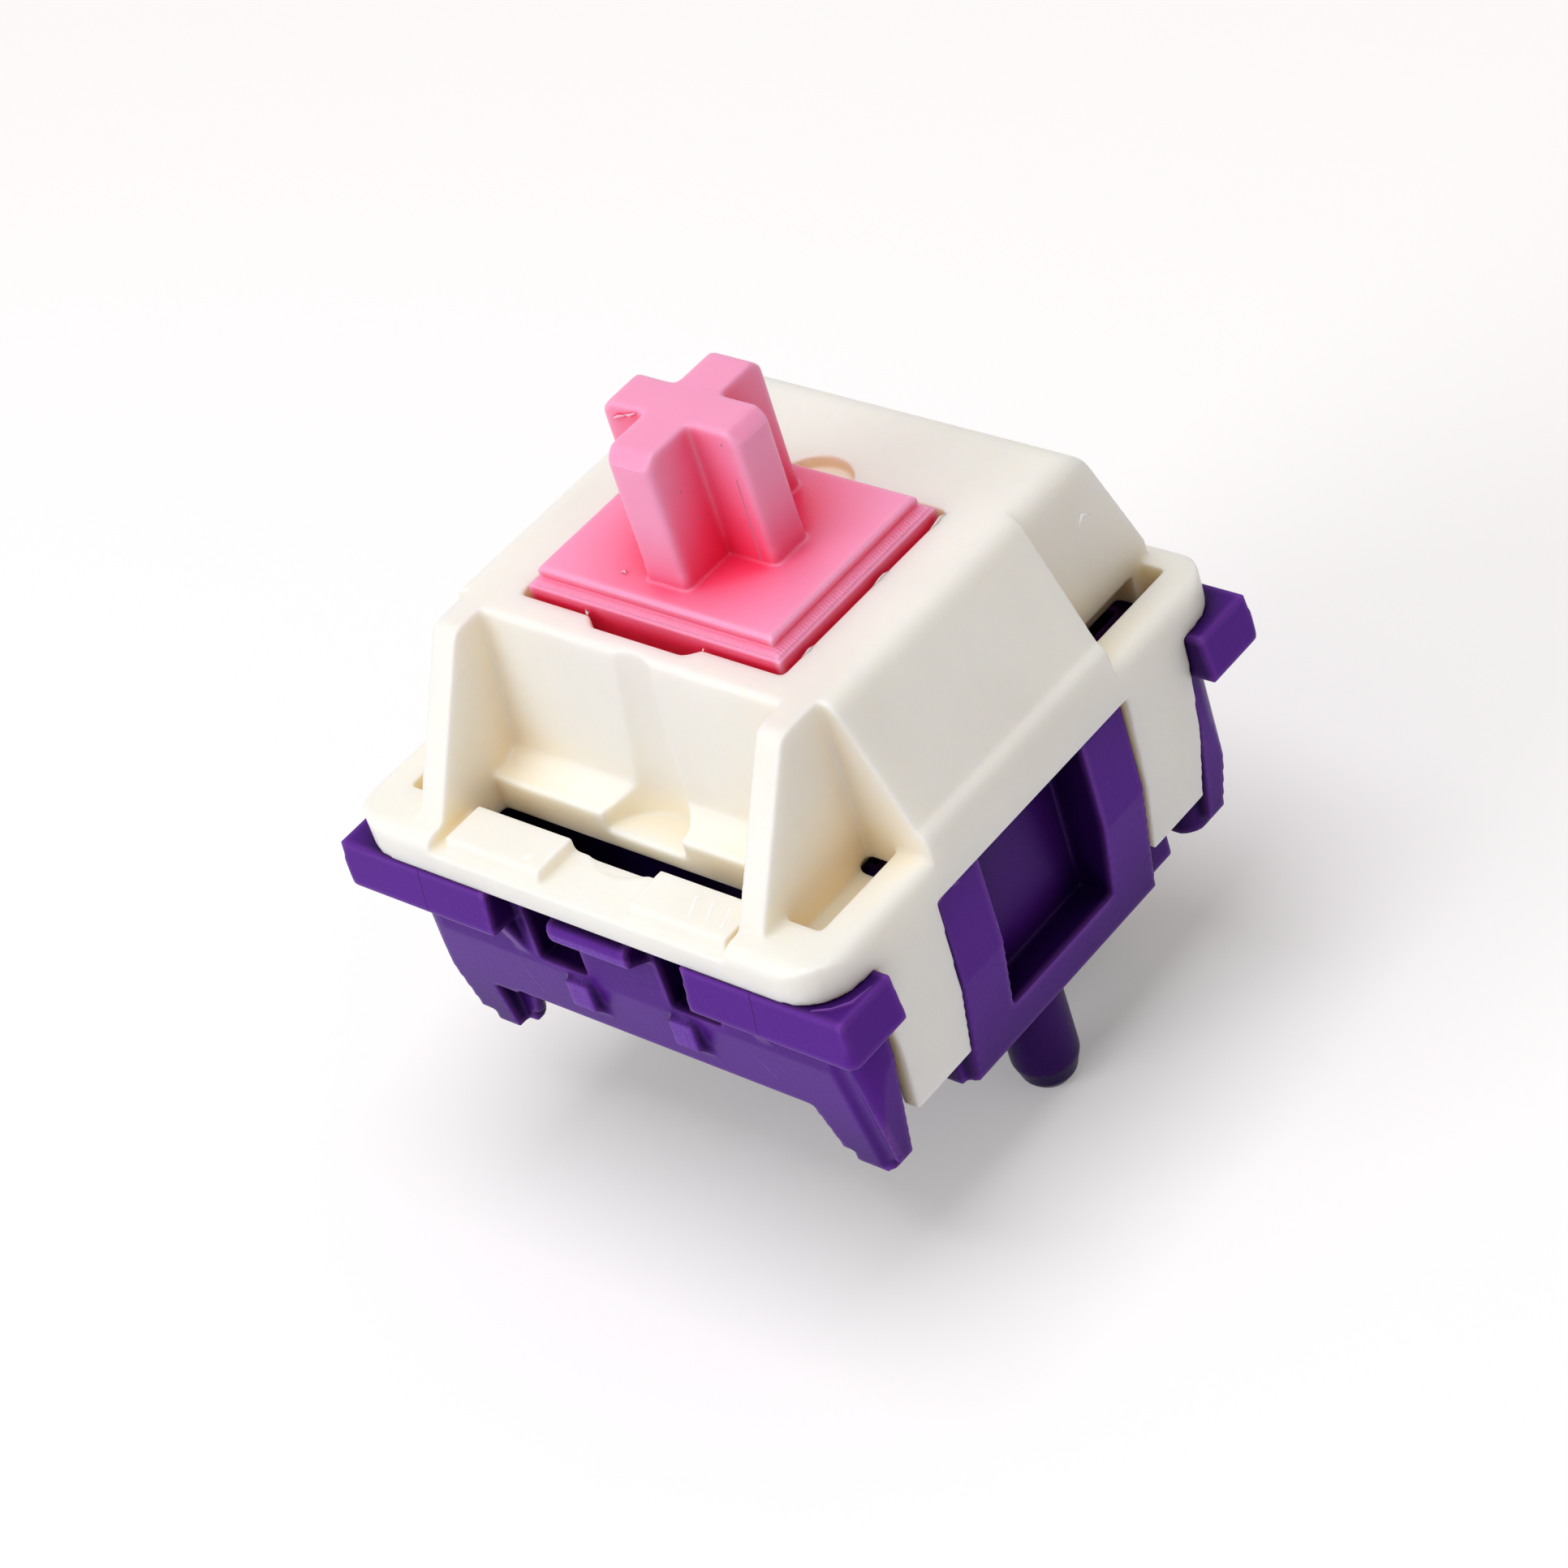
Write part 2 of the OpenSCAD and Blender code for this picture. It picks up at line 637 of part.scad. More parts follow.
module fixed_contact() {
  color("goldenrod") along_y(fixed_y - sheet / 2, fixed_y + sheet / 2) {
    terminal(fixed_x, shelf_z + 0.1);
    polygon(rounded([[fixed_x - 1.4, shelf_z], [fixed_x + 0.9, shelf_z], [fixed_x + 0.9, contact_top],
                     [-0.9, contact_top], [-0.9, point_z - 0.8], [fixed_x - 1.4, point_z - 1.6]],
                    [0, 0, 0.3, 0.3, 0.2, 0.2]));
  }
}

module moving_contact() {
  half = blade / 2;
  root = blade * 0.58;
  tip = blade * 0.38;
  leaf_end = -moving_x - blade * 1.25;
  color("goldenrod") union() {
    along_y(moving_y - sheet / 2, moving_y + sheet / 2) terminal(moving_x, floor_z + sheet);
    block([moving_x - half, moving_y - sheet / 2, floor_z],
          [moving_x + half, leaf_y + sheet, floor_z + sheet]);
    along_y(leaf_y, leaf_y + sheet)
      polygon(rounded([[moving_x - half, floor_z], [moving_x + half, floor_z],
                       [moving_x + half, point_z - root], [leaf_end, point_z - tip],
                       [leaf_end, point_z + tip], [moving_x + half, point_z + root],
                       [moving_x - half, point_z + root]],
                      [0, 0, 0.3, 0.3, 0.3, 0.2, 0.2]));
  }
}

// Round contact point that stands on a sheet at height point_z
module contact_point(from, to) {
  color("gold") translate([0, to, point_z]) rotate([90, 0, 0]) cylinder(h = to - from, d = point_d);
}

module fixed_contact_point() {
  contact_point(fixed_y - sheet / 2 - point_room / 2, fixed_y - sheet / 2);
}

module moving_contact_point() {
  contact_point(leaf_y + sheet, leaf_y + sheet + point_room / 2);
}

upper_housing();
lower_housing();
stem();
return_spring();
fixed_contact();
moving_contact();
fixed_contact_point();
moving_contact_point();
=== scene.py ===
# %% [markdown]
# # A keyboard switch, dressed for a photograph
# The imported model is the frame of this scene. It holds three mouldings (a cream upper housing, a purple
# lower housing and a pink stem), a coil spring and four small metal pieces. We keep every piece where the
# frame has it, give the mouldings the soft edges that a steel mould leaves, and then work on surfaces and light.

# %% Load the frame
import math

import bmesh
import bpy
from mathutils import Matrix, Vector


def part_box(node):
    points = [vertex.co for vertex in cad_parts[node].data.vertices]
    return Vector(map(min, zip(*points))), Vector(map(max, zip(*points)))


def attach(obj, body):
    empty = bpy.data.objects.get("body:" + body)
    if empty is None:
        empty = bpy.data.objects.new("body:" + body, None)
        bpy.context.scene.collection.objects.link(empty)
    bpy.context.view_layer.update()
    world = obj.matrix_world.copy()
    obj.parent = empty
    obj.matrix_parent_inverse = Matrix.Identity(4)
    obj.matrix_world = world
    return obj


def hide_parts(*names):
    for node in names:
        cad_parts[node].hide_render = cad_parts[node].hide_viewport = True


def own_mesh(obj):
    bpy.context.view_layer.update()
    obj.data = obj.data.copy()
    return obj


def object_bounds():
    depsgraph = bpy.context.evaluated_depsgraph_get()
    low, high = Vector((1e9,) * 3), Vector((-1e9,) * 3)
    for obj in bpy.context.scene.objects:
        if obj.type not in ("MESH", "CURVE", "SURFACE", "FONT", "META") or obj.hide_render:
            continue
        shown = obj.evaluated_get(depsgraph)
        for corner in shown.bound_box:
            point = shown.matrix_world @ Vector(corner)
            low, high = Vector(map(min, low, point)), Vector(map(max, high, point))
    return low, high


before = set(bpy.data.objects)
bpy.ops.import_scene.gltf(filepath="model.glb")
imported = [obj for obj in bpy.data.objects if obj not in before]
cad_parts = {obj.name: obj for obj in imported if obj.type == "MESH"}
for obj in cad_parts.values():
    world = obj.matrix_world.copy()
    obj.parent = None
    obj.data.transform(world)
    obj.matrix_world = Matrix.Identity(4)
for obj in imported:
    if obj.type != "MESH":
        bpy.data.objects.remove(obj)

cad_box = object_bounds()
scene = bpy.context.scene
MM = 0.001

# %% [markdown]
# ## The camera
# The photograph looks down on the corner between the light slot and the right side. A camera could be aimed
# with a constraint, but its roll would then be lost: the switch leans on its feet in the picture, and here it
# stands upright, so the camera carries that lean. We build the camera's axes from three angles instead.

# %% Place the camera
CAMERA_PLACE = Vector((63.11, -51.88, 68.66)) * MM
CAMERA_AZIMUTH = math.radians(50.98)
CAMERA_ELEVATION = math.radians(38.15)
CAMERA_ROLL = math.radians(-18.94)
CAMERA_LENS = 102.5


def camera_axes(azimuth, elevation, roll):
    """Right, up and backward directions of a camera that looks along an azimuth from above."""
    ahead = Vector((-math.sin(azimuth) * math.cos(elevation), math.cos(azimuth) * math.cos(elevation),
                    -math.sin(elevation)))
    level = Vector((ahead.y, -ahead.x, 0)).normalized()
    above = level.cross(ahead)
    right = math.cos(roll) * level + math.sin(roll) * above
    up = math.cos(roll) * above - math.sin(roll) * level
    return right, up, -ahead


camera_data = bpy.data.cameras.new("camera")
camera_data.lens = CAMERA_LENS
camera_data.sensor_width = 36
camera_data.clip_start = 0.01
camera_data.clip_end = 10
camera = bpy.data.objects.new("camera", camera_data)
scene.collection.objects.link(camera)
camera_right, camera_up, camera_back = camera_axes(CAMERA_AZIMUTH, CAMERA_ELEVATION, CAMERA_ROLL)
camera.matrix_world = Matrix.Translation(CAMERA_PLACE) @ Matrix((camera_right, camera_up, camera_back)).transposed().to_4x4()
scene.camera = camera
print("camera:", [round(value / MM, 1) for value in camera.location], "mm")

# %% [markdown]
# ## The floor and the light
# The switch stands on white paper in a soft studio. The paper is a big plane. It could be lit until it
# turns white, but the cream plastic would burn out with it, so the camera alone sees a little extra
# brightness from the paper and from the world. One big soft lamp hangs overhead, a weaker one stands on the
# side of the light slot, and the world fills the shadows with a slightly warm light.

# %% Lay the floor
FLOOR_HALF = 0.6
FLOOR_GLOW = 0.20


def seen_directly(nodes, links):
    """1 for rays from the camera, from mirrors and through glass, and 0 for rays that only carry light."""
    path = nodes.new("ShaderNodeLightPath")
    either = nodes.new("ShaderNodeMath")
    either.operation = "MAXIMUM"
    links.new(path.outputs["Is Camera Ray"], either.inputs[0])
    links.new(path.outputs["Is Glossy Ray"], either.inputs[1])
    both = nodes.new("ShaderNodeMath")
    both.operation = "MAXIMUM"
    links.new(either.outputs[0], both.inputs[0])
    links.new(path.outputs["Is Transmission Ray"], both.inputs[1])
    return both.outputs[0]


def paper_material():
    """White paper with a glow that only direct sight picks up."""
    material = bpy.data.materials.new("white_paper")
    material.use_nodes = True
    nodes, links = material.node_tree.nodes, material.node_tree.links
    nodes.clear()
    paper = nodes.new("ShaderNodeBsdfDiffuse")
    paper.inputs["Color"].default_value = (0.86, 0.85, 0.88, 1)
    glow = nodes.new("ShaderNodeEmission")
    strength = nodes.new("ShaderNodeMath")
    strength.operation = "MULTIPLY"
    strength.inputs[1].default_value = FLOOR_GLOW
    links.new(seen_directly(nodes, links), strength.inputs[0])
    links.new(strength.outputs[0], glow.inputs["Strength"])
    both = nodes.new("ShaderNodeAddShader")
    links.new(paper.outputs[0], both.inputs[0])
    links.new(glow.outputs[0], both.inputs[1])
    output = nodes.new("ShaderNodeOutputMaterial")
    links.new(both.outputs[0], output.inputs["Surface"])
    return material


floor_z = cad_box[0].z
floor_mesh = bpy.data.meshes.new("floor")
floor_mesh.from_pydata([(x, y, floor_z) for x, y in ((-FLOOR_HALF, -FLOOR_HALF), (FLOOR_HALF, -FLOOR_HALF),
                                                     (FLOOR_HALF, FLOOR_HALF), (-FLOOR_HALF, FLOOR_HALF))],
                       [], [(0, 1, 2, 3)])
floor_mesh.materials.append(paper_material())
floor = bpy.data.objects.new("floor", floor_mesh)
scene.collection.objects.link(floor)
print("floor at", round(floor_z / MM, 2), "mm")

# %% Hang the lamps
LIGHT_CENTRE = Vector((0, 0, 6)) * MM


def soft_lamp(name, place, size, power):
    """A square lamp that faces the switch from a place given in metres: right, back and up."""
    data = bpy.data.lights.new(name, "AREA")
    data.shape = "SQUARE"
    data.size = size
    data.energy = power
    lamp = bpy.data.objects.new(name, data)
    lamp.location = LIGHT_CENTRE + Vector(place)
    lamp.rotation_mode = "QUATERNION"
    lamp.rotation_quaternion = Vector(place).to_track_quat("Z", "Y")
    scene.collection.objects.link(lamp)
    return lamp


soft_lamp("top_lamp", (0.00, -0.03, 0.28), size=0.20, power=0.47)
soft_lamp("front_lamp", (-0.10, -0.26, 0.12), size=0.18, power=0.34)
soft_lamp("side_lamp", (0.28, 0.02, 0.10), size=0.20, power=0.03)

# %% Light the room
ROOM_LIGHT = 0.34

world = bpy.data.worlds.new("studio")
scene.world = world
world.use_nodes = True
nodes, links = world.node_tree.nodes, world.node_tree.links
nodes.clear()
room = nodes.new("ShaderNodeBackground")
room.inputs["Color"].default_value = (1, 0.93, 0.84, 1)
room.inputs["Strength"].default_value = ROOM_LIGHT
backdrop = nodes.new("ShaderNodeBackground")
backdrop.inputs["Color"].default_value = (1, 1, 1, 1)
backdrop.inputs["Strength"].default_value = 1
choice = nodes.new("ShaderNodeMixShader")
links.new(seen_directly(nodes, links), choice.inputs["Fac"])
links.new(room.outputs[0], choice.inputs[1])
links.new(backdrop.outputs[0], choice.inputs[2])
output = nodes.new("ShaderNodeOutputWorld")
links.new(choice.outputs[0], output.inputs["Surface"])
scene.view_settings.view_transform = "Standard"
print("room light", ROOM_LIGHT)

# %% [markdown]
# ## Soft edges on the mouldings
# A moulded part has no sharp edge: the mould's corners are worn and polished, and inner corners are filled by
# a small radius. A bevel modifier rounds outer edges only, and it stumbles on a shape with this many cuts. We
# rebuild each moulding as a fine, even skin instead, relax that skin so that edges and inner corners turn
# round by about a tenth of a millimetre, and thin the mesh out again where it is flat. The form stays.

# %% Rebuild a moulding with soft edges
SKIN_STEP = {"upper_housing": 0.05, "lower_housing": 0.05, "stem": 0.035}
TRIANGLES = 170000
DRAFT_COARSER = 1.0


def evaluated_mesh(piece):
    """The piece's mesh with its modifiers applied, as a new mesh."""
    graph = bpy.context.evaluated_depsgraph_get()
    return bpy.data.meshes.new_from_object(piece.evaluated_get(graph))


def soft_moulding(node, radius_steps, rounder_above=None, rounder_steps=0):
    """A copy of a frame node whose edges are rounded, and rounder still above a height in mm."""
    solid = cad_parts[node]
    mesh = solid.data.copy()
    mesh.transform(Matrix.Scale(1 / MM, 4) @ solid.matrix_world)
    piece = bpy.data.objects.new(node + "_moulding", mesh)
    scene.collection.objects.link(piece)
    skin = piece.modifiers.new("skin", "REMESH")
    skin.mode = "VOXEL"
    skin.voxel_size = SKIN_STEP[node] * DRAFT_COARSER
    relax = piece.modifiers.new("relax", "SMOOTH")
    relax.factor = 0.5
    relax.iterations = radius_steps
    piece.data = evaluated_mesh(piece)
    piece.modifiers.clear()
    if rounder_above is not None:
        upper_part = piece.vertex_groups.new(name="upper_part")
        upper_part.add([point.index for point in piece.data.vertices if point.co.z > rounder_above], 1, "REPLACE")
        again = piece.modifiers.new("again", "SMOOTH")
        again.vertex_group = "upper_part"
        again.factor = 0.5
        again.iterations = rounder_steps
        piece.data = evaluated_mesh(piece)
        piece.modifiers.clear()
        piece.vertex_groups.clear()
    corners = sum(len(face.vertices) - 2 for face in piece.data.polygons)
    thin = piece.modifiers.new("thin", "DECIMATE")
    thin.ratio = min(1.0, TRIANGLES / corners)
    piece.data = evaluated_mesh(piece)
    piece.modifiers.clear()
    piece.data.transform(Matrix.Scale(MM, 4))
    piece.data.name = piece.name
    for face in piece.data.polygons:
        face.use_smooth = True
    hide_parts(node)
    print(piece.name, "from", corners, "to", len(piece.data.polygons), "triangles")
    return piece


upper_moulding = soft_moulding("upper_housing", 16)
lower_moulding = soft_moulding("lower_housing", 10)
stem_moulding = soft_moulding("stem", 5, rounder_above=12.2, rounder_steps=60)
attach(upper_moulding, "housing")
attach(lower_moulding, "housing")
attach(stem_moulding, "slider")

# %% [markdown]
# ## The spring
# The frame's own coil has flat sides and can't shorten. A round wire is wound on the same line here, with one closed
# coil at each end.

# %% Wind the spring
COILS = 8
WIRE = 0.35
SPRING_WIDTH = 4.0


def wind_spring(low, high):
    """A round wire between two heights in mm, on the line of the frame's spring."""
    turns, sides, steps = COILS + 2, 12, 40
    first, last = low + WIRE / 2, high - WIRE / 2
    pitch = (last - first - 2 * WIRE) / COILS
    skin = bmesh.new()
    rings = []
    for step in range(steps * turns + 1):
        turn = step / steps
        if turn < 1:
            rise = first + WIRE * turn
        elif turn > turns - 1:
            rise = last - WIRE * (turns - turn)
        else:
            rise = first + WIRE + pitch * (turn - 1)
        angle = math.tau * turn
        ring = []
        for side in range(sides):
            around = math.tau * side / sides
            reach = SPRING_WIDTH / 2 + WIRE / 2 * math.cos(around)
            ring.append(skin.verts.new((reach * math.cos(angle) * MM, reach * math.sin(angle) * MM,
                                        (rise + WIRE / 2 * math.sin(around)) * MM)))
        rings.append(ring)
    for here, there in zip(rings, rings[1:]):
        for side in range(sides):
            skin.faces.new((here[side], here[(side + 1) % sides], there[(side + 1) % sides], there[side]))
    skin.faces.new(rings[0][::-1])
    skin.faces.new(rings[-1])
    bmesh.ops.recalc_face_normals(skin, faces=skin.faces)
    for face in skin.faces:
        face.smooth = len(face.verts) == 4
    mesh = bpy.data.meshes.new("spring_coil")
    skin.to_mesh(mesh)
    skin.free()
    piece = bpy.data.objects.new("spring_coil", mesh)
    scene.collection.objects.link(piece)
    return piece


spring_low, spring_high = (corner[2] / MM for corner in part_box("return_spring"))
spring_coil = wind_spring(spring_low, spring_high)
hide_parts("return_spring")
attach(spring_coil, "housing")
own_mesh(spring_coil)
print("spring from", round(spring_low, 2), "to", round(spring_high, 2), "mm,", len(spring_coil.data.polygons), "faces")

# %% [markdown]
# ## Flash
# Where the mould's parts meet, a little plastic creeps into the gap and stays on the piece as thin threads.
# Each thread is a small closed tube with its ends drawn in, half sunk into the surface and joined to its
# moulding. A thread follows a list of points in millimetres, read off the photograph.

# %% Grow flash on the mouldings
FLASH_RADIUS = 0.04
STEM_FLASH = [
    [(-1.66, -0.60, 15.00), (-1.45, -0.64, 15.12), (-1.20, -0.60, 15.18)],
    [(-1.24, -0.60, 15.20), (-1.05, -0.63, 15.24), (-0.88, -0.60, 15.32)],
    [(-1.40, -2.05, 11.80), (-1.30, -2.02, 11.84), (-1.22, -2.06, 11.80)],
]
UPPER_FLASH = [
    [(-1.86, -2.98, 11.15), (-1.83, -2.99, 11.24), (-1.90, -2.96, 11.29)],
    [(1.62, -3.00, 11.15), (1.66, -3.00, 11.24)],
    [(3.96, -2.35, 11.16), (3.98, -2.10, 11.21), (3.96, -1.90, 11.17)],
    [(3.96, 0.20, 11.16), (3.98, 0.45, 11.21), (3.95, 0.62, 11.19), (3.97, 0.80, 11.16)],
    [(3.96, 2.30, 11.16), (4.00, 2.50, 11.22), (3.95, 2.72, 11.21), (3.97, 2.95, 11.16)],
    [(6.05, 4.70, 10.00), (6.00, 4.95, 10.15), (5.98, 5.25, 9.95)],
]
LOWER_FLASH = [
    [(6.72, -7.50, 6.25), (7.12, -7.28, 6.25), (7.40, -6.92, 6.25), (7.50, -6.35, 6.25)],
    [(7.03, -3.42, 6.00), (7.06, -3.05, 6.14), (7.03, -2.70, 5.98)],
]


def grow_flash(piece, threads):
    """Adds a closed, tapered tube to the piece for each list of points."""
    sides = 6
    skin = bmesh.new()
    skin.from_mesh(piece.data)
    for thread in threads:
        points = [Vector(point) * MM for point in thread]
        rings = []
        for step, point in enumerate(points):
            along = (points[min(step + 1, len(points) - 1)] - points[max(step - 1, 0)]).normalized()
            across = along.orthogonal().normalized()
            beside = along.cross(across)
            ends = step in (0, len(points) - 1)
            radius = FLASH_RADIUS * MM * (0.45 if ends else 1)
            rings.append([skin.verts.new(point + radius * (math.cos(turn) * across + math.sin(turn) * beside))
                          for turn in (math.tau * side / sides for side in range(sides))])
        faces = [skin.faces.new((here[side], here[(side + 1) % sides], there[(side + 1) % sides], there[side]))
                 for here, there in zip(rings, rings[1:]) for side in range(sides)]
        faces += [skin.faces.new(rings[0][::-1]), skin.faces.new(rings[-1])]
        bmesh.ops.recalc_face_normals(skin, faces=faces)
        for face in faces:
            face.smooth = True
    skin.to_mesh(piece.data)
    skin.free()
    print(piece.name, "has", len(threads), "threads of flash")


grow_flash(stem_moulding, STEM_FLASH)
grow_flash(upper_moulding, UPPER_FLASH)
grow_flash(lower_moulding, LOWER_FLASH)

# %% [markdown]
# ## Moulded plastic
# All three plastics are satin nylon or acetal that lets a little light in, so thin walls glow. The shader
# carries a fine grain in its bump, a slow drift in its colour, and painted shade: a second, darker colour
# that ambient occlusion puts into recesses and under overhangs, warm on the cream. Near an outer edge the
# colour is painted paler, a painted highlight and glow where the plastic is thin.

# %% Mark a stroke on a surface
def strokes_mask(nodes, links, place, strokes):
    """1 on the given strokes and 0 elsewhere. A stroke is its two ends and its half width, in mm."""
    total = None
    for start, end, half_width in strokes:
        start, end = Vector(start) * MM, Vector(end) * MM
        run = end - start
        offset = nodes.new("ShaderNodeVectorMath")
        offset.operation = "SUBTRACT"
        offset.inputs[1].default_value = start
        links.new(place, offset.inputs[0])
        share = nodes.new("ShaderNodeVectorMath")
        share.operation = "DOT_PRODUCT"
        share.inputs[1].default_value = run / max(run.length_squared, 1e-12)
        links.new(offset.outputs["Vector"], share.inputs[0])
        inside = nodes.new("ShaderNodeClamp")
        links.new(share.outputs["Value"], inside.inputs["Value"])
        foot = nodes.new("ShaderNodeVectorMath")
        foot.operation = "SCALE"
        foot.inputs[0].default_value = run
        links.new(inside.outputs[0], foot.inputs["Scale"])
        away = nodes.new("ShaderNodeVectorMath")
        away.operation = "DISTANCE"
        links.new(offset.outputs["Vector"], away.inputs[0])
        links.new(foot.outputs["Vector"], away.inputs[1])
        near = nodes.new("ShaderNodeMapRange")
        near.inputs["From Min"].default_value = half_width * MM
        near.inputs["From Max"].default_value = half_width * MM * 0.5
        links.new(away.outputs["Value"], near.inputs["Value"])
        if total is None:
            total = near.outputs["Result"]
        else:
            both = nodes.new("ShaderNodeMath")
            both.operation = "MAXIMUM"
            links.new(total, both.inputs[0])
            links.new(near.outputs["Result"], both.inputs[1])
            total = both.outputs[0]
    return total


def dots_height(nodes, links, place, low, high):
    """A regular grid of fine dots on the part of a surface between two heights in mm."""
    parts = nodes.new("ShaderNodeSeparateXYZ")
    links.new(place, parts.inputs[0])
    above = nodes.new("ShaderNodeMapRange")
    above.inputs["From Min"].default_value = low * MM
    above.inputs["From Max"].default_value = (low + 0.03) * MM
    links.new(parts.outputs["Z"], above.inputs["Value"])
    below = nodes.new("ShaderNodeMapRange")
    below.inputs["From Min"].default_value = high * MM
    below.inputs["From Max"].default_value = (high - 0.03) * MM
    links.new(parts.outputs["Z"], below.inputs["Value"])
    grid = nodes.new("ShaderNodeTexVoronoi")
    grid.inputs["Scale"].default_value = 11000
    grid.inputs["Randomness"].default_value = 0.15
    links.new(place, grid.inputs["Vector"])
    band = nodes.new("ShaderNodeMath")
    band.operation = "MULTIPLY"
    links.new(above.outputs["Result"], band.inputs[0])
    links.new(below.outputs["Result"], band.inputs[1])
    dots = nodes.new("ShaderNodeMath")
    dots.operation = "MULTIPLY"
    links.new(band.outputs[0], dots.inputs[0])
    links.new(grid.outputs["Distance"], dots.inputs[1])
    return dots.outputs[0]


def add_bump(nodes, links, height, strength, reach, under=None):
    """A bump over another one, with its reach in mm."""
    bump = nodes.new("ShaderNodeBump")
    bump.inputs["Strength"].default_value = strength
    bump.inputs["Distance"].default_value = reach * MM
    links.new(height, bump.inputs["Height"])
    if under is not None:
        links.new(under, bump.inputs["Normal"])
    return bump.outputs["Normal"]


